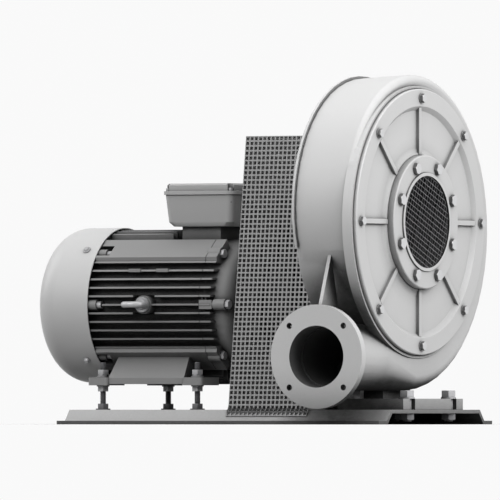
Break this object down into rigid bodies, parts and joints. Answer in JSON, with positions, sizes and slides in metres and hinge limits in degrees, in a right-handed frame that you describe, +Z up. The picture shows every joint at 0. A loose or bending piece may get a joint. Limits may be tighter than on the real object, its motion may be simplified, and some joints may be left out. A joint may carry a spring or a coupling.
{
  "type": "high-pressure blower",
  "caption": "Belt-driven high-pressure blower: volute casing with round ribbed cover, screened inlet, flanged outlet, belt guard and foot-mounted motor on a folded base.",
  "frame": {"origin": "centre of the rectangle of floor holes, on the underside of the base", "axes": "+X along both shafts towards the air inlet, the outlet faces -Y, +Z up"},
  "size_m": [0.6925, 0.4979, 0.5707],
  "materials": {
    "base_paint": "satin",
    "casing_paint": "painted, satin",
    "cowl_paint": "satin",
    "motor_paint": "painted, satin",
    "box_paint": "satin",
    "guard_paint": "satin",
    "zinc": "zinc plated",
    "wire": "drawn wire",
    "shaft_steel": "ground",
    "core_steel": "laminated",
    "impeller_metal": "as cast",
    "pulley_iron": "phosphated",
    "winding": "varnished",
    "black_plastic": "matte",
    "black_rubber": "matte"
  },
  "bodies": {
    "frame": {"base_plate": "base_paint", "jacking_studs": "zinc", "base_nuts": "zinc", "base_washers": "zinc", "v_belts": "black_rubber", "blower_outer_rings": "shaft_steel", "bearing_housing": "casing_paint", "bearing_cap": "casing_paint", "housing_bolts": "zinc", "shaft_seal": "black_rubber", "casing": "casing_paint", "casing_bolts": "zinc", "casing_bolt_nuts": "zinc", "cover": "casing_paint", "cover_gasket": "black_rubber", "cover_bolts": "zinc", "cover_washers": "zinc", "inlet_flange": "casing_paint", "inlet_flange_bolts": "zinc", "inlet_screen": "wire", "screen_ring": "zinc", "belt_guard": "guard_paint", "guard_motor_plate": "guard_paint", "guard_casing_plate": "guard_paint", "guard_screws": "zinc"},
    "motor": {"stator_frame": "motor_paint", "motor_feet": "motor_paint", "foot_screws": "zinc", "adjusting_nuts": "zinc", "adjusting_washers": "zinc", "drive_end_shield": "motor_paint", "fan_end_shield": "motor_paint", "shield_bolts": "zinc", "fan_cowl": "cowl_paint", "cowl_screws": "zinc", "stator_core": "core_steel", "stator_windings": "winding", "terminal_box": "box_paint", "terminal_lid": "box_paint", "lid_gasket": "black_rubber", "lid_screws": "zinc", "terminal_board": "black_plastic", "cable_gland": "black_plastic", "eyebolt": "zinc", "motor_outer_rings": "shaft_steel"},
    "motor_rotor": {"motor_shaft": "shaft_steel", "rotor_core": "core_steel", "cooling_fan": "black_plastic", "motor_pulley": "pulley_iron", "motor_key": "shaft_steel", "motor_inner_rings": "shaft_steel", "motor_balls": "shaft_steel"},
    "blower_rotor": {"blower_pulley": "pulley_iron", "blower_key": "shaft_steel", "blower_shaft": "shaft_steel", "impeller": "impeller_metal", "impeller_nut": "shaft_steel", "blower_inner_rings": "shaft_steel", "blower_balls": "shaft_steel"}
  },
  "joints": [
    {"name": "belt_tension", "type": "slide", "parent": "frame", "child": "motor", "axis": [0, 0, 1], "range_m": [-0.01, 0.008], "deforming": ["v_belts"]},
    {"name": "motor_spin", "type": "hinge", "parent": "motor", "child": "motor_rotor", "pos_m": [0, 0, 0.196], "axis": [1, 0, 0], "continuous": true},
    {"name": "blower_spin", "type": "hinge", "parent": "frame", "child": "blower_rotor", "pos_m": [0, 0, 0.33], "axis": [1, 0, 0], "continuous": true}
  ],
  "couplings": [
    {"joint": "blower_spin", "follows": "motor_spin", "ratio": 1.5306}
  ]
}
